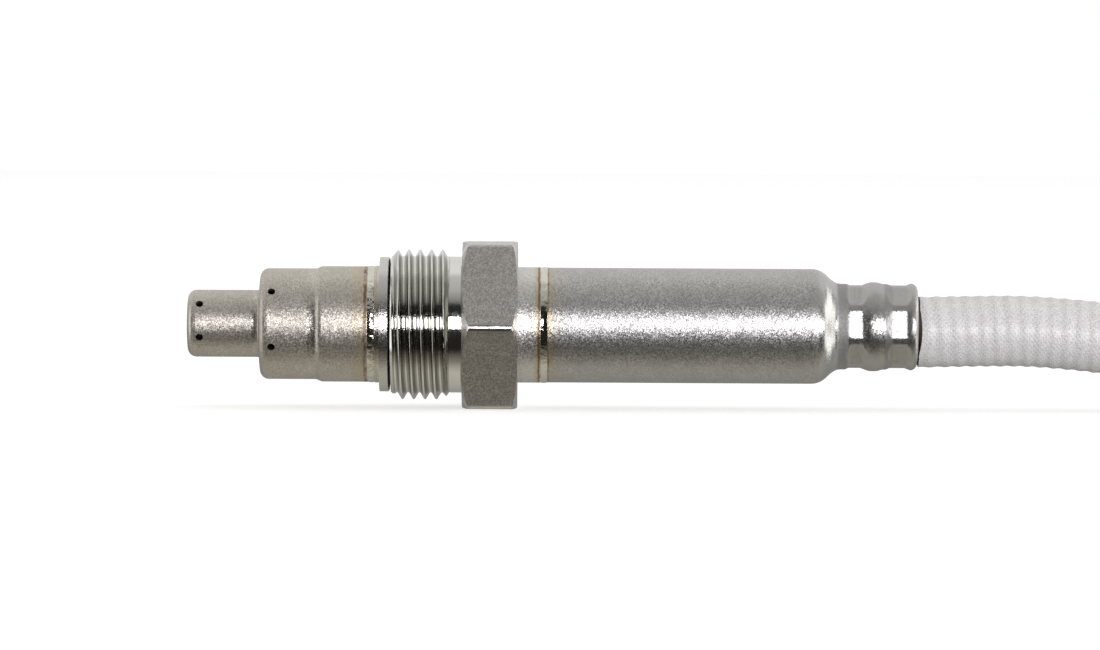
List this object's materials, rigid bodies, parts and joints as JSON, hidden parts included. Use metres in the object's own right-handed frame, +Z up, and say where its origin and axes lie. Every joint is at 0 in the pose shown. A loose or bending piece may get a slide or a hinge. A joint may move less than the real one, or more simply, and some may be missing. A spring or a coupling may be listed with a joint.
{
  "type": "nitrogen oxide sensor",
  "caption": "Exhaust gas probe with a stepped double cover, captive hexagon nut, crimped steel casing, sleeved lead and plain sealed connector.",
  "frame": {"origin": "centre of the collar's front face, which seals on the exhaust boss, on the probe's axis", "axes": "-X out of the tip into the exhaust, +X along the casing to the lead, +Z up from the surface that the part lies on"},
  "size_m": [0.2838, 0.0736, 0.0246],
  "materials": {
    "blasted_steel": "satin, bead blasted stainless steel",
    "bright_steel": "bright drawn stainless steel",
    "turned_steel": "glossy turned stainless steel",
    "nut_steel": "matt flats, glossy rolled thread",
    "zirconia": "matt sintered",
    "alumina": "matt sintered",
    "talc": "pressed powder",
    "soft_metal": "dull",
    "spring_alloy": "rolled strip",
    "wire_insulation": "smooth fluoropolymer",
    "grommet_rubber": "matt brown rubber",
    "glass_sleeve": "coated glass fibre braid",
    "tie_plastic": "matt",
    "connector_plastic": "moulded, matt",
    "seal_rubber": "silicone",
    "lock_plastic": "moulded, matt",
    "contact_brass": "plated"
  },
  "bodies": {
    "probe": {"outer_cover": "blasted_steel", "inner_cover": "bright_steel", "main_shell": "turned_steel", "sensing_element": "zirconia", "front_insulator": "alumina", "front_talc_ring": "talc", "middle_insulator": "alumina", "rear_talc_ring": "talc", "rear_insulator": "alumina", "packing_ring": "soft_metal", "casing_tube": "blasted_steel", "upper_contact_housing": "alumina", "lower_contact_housing": "alumina", "upper_contacts": "spring_alloy", "lower_contacts": "spring_alloy", "clamp_band": "spring_alloy", "housing_retainer": "bright_steel", "crimp_ferrules": "soft_metal", "lead_wires": "wire_insulation", "cable_grommet": "grommet_rubber", "lead_sleeve": "glass_sleeve", "lead_hank": "glass_sleeve", "hank_ties": "tie_plastic", "connector_housing": "connector_plastic", "connector_cap": "connector_plastic", "connector_seal": "seal_rubber", "connector_lock_plate": "lock_plastic", "connector_sockets": "contact_brass"},
    "nut": {"mounting_nut": "nut_steel"}
  },
  "joints": [
    {"name": "nut_spin", "type": "hinge", "parent": "probe", "child": "nut", "pos_m": [0.0093, 0, 0], "axis": [1, 0, 0], "continuous": true}
  ]
}
